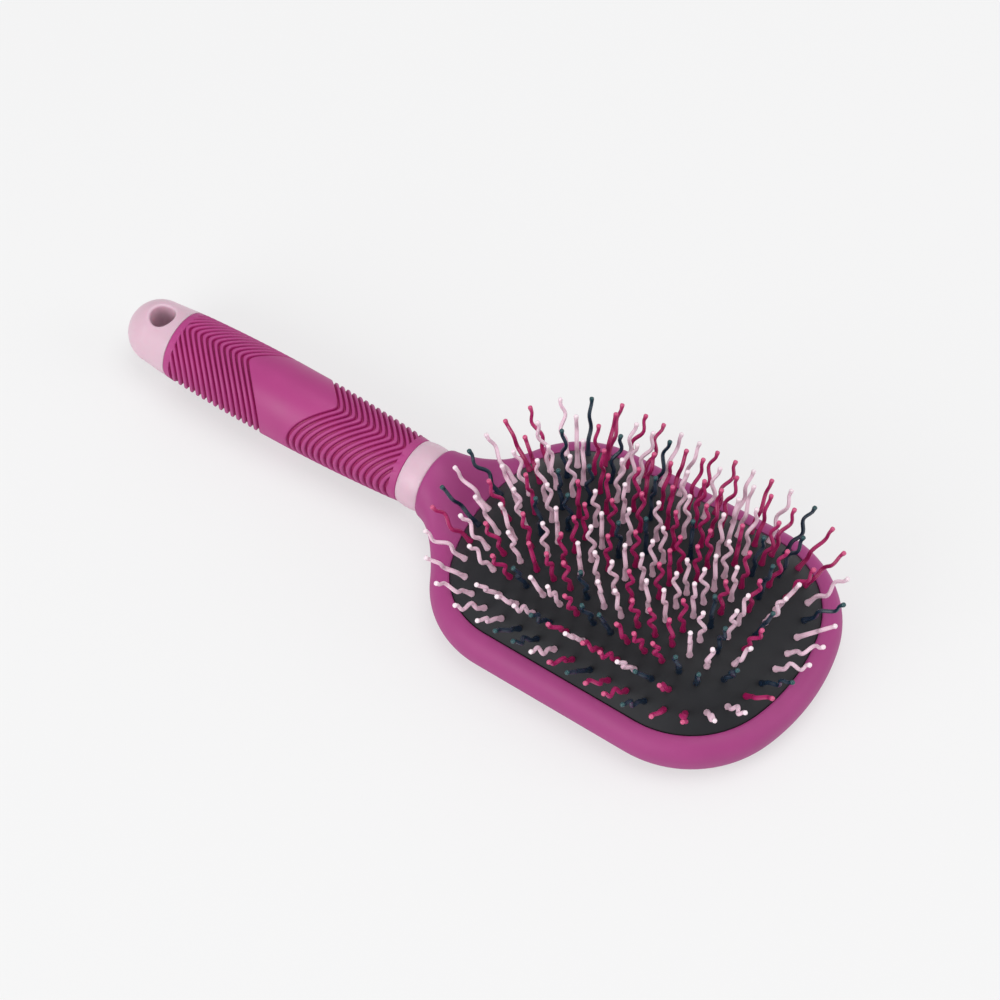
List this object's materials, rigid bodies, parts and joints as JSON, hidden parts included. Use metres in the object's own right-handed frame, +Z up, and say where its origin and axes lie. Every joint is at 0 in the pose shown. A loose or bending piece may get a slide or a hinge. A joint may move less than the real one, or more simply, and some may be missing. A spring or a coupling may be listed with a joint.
{
  "type": "paddle hair brush",
  "caption": "Paddle hair brush with a domed rubber air cushion carrying wavy ball-tipped pins, a ribbed barrel grip and an end cap with a hanging hole.",
  "frame": {"origin": "midway along the brush and on its middle plane, on the surface that the back of the head lies on", "axes": "+X along the handle towards the head tip, +Y across the head, +Z up through the pins"},
  "size_m": [0.2464, 0.089, 0.0447],
  "materials": {
    "paddle_magenta": "soft-touch matt",
    "grip_rubber": "matt moulded rubber",
    "trim_pink": "satin moulded",
    "cushion_rubber": "matt rubber membrane",
    "pin_pale": "satin flexible nylon",
    "pin_crimson": "satin flexible nylon",
    "pin_navy": "satin flexible nylon"
  },
  "bodies": {
    "brush_body": {"paddle_body": "paddle_magenta", "cushion": "cushion_rubber", "collar": "trim_pink", "grip_sleeve": "grip_rubber", "end_cap": "trim_pink"},
    "pins_crown": {"pins_crown_crimson": "pin_crimson", "pins_crown_navy": "pin_navy", "pins_crown_pale": "pin_pale"},
    "pins_fourth": {"pins_fourth_crimson": "pin_crimson", "pins_fourth_navy": "pin_navy", "pins_fourth_pale": "pin_pale"},
    "pins_third": {"pins_third_crimson": "pin_crimson", "pins_third_navy": "pin_navy", "pins_third_pale": "pin_pale"},
    "pins_second": {"pins_second_crimson": "pin_crimson", "pins_second_navy": "pin_navy", "pins_second_pale": "pin_pale"},
    "pins_rim": {"pins_rim_crimson": "pin_crimson", "pins_rim_navy": "pin_navy", "pins_rim_pale": "pin_pale"}
  },
  "joints": [
    {"name": "crown_sink", "type": "slide", "parent": "brush_body", "child": "pins_crown", "axis": [0, 0, -1], "range_m": [0, 0.006], "stiffness_N_per_m": 1500, "deforming": ["cushion"]},
    {"name": "fourth_sink", "type": "slide", "parent": "brush_body", "child": "pins_fourth", "axis": [0, 0, -1], "range_m": [0, 0.0057]},
    {"name": "third_sink", "type": "slide", "parent": "brush_body", "child": "pins_third", "axis": [0, 0, -1], "range_m": [0, 0.005]},
    {"name": "second_sink", "type": "slide", "parent": "brush_body", "child": "pins_second", "axis": [0, 0, -1], "range_m": [0, 0.004]},
    {"name": "rim_sink", "type": "slide", "parent": "brush_body", "child": "pins_rim", "axis": [0, 0, -1], "range_m": [0, 0.0022]}
  ],
  "couplings": [
    {"joint": "fourth_sink", "follows": "crown_sink", "ratio": 0.935},
    {"joint": "third_sink", "follows": "crown_sink", "ratio": 0.818},
    {"joint": "second_sink", "follows": "crown_sink", "ratio": 0.651},
    {"joint": "rim_sink", "follows": "crown_sink", "ratio": 0.355}
  ]
}
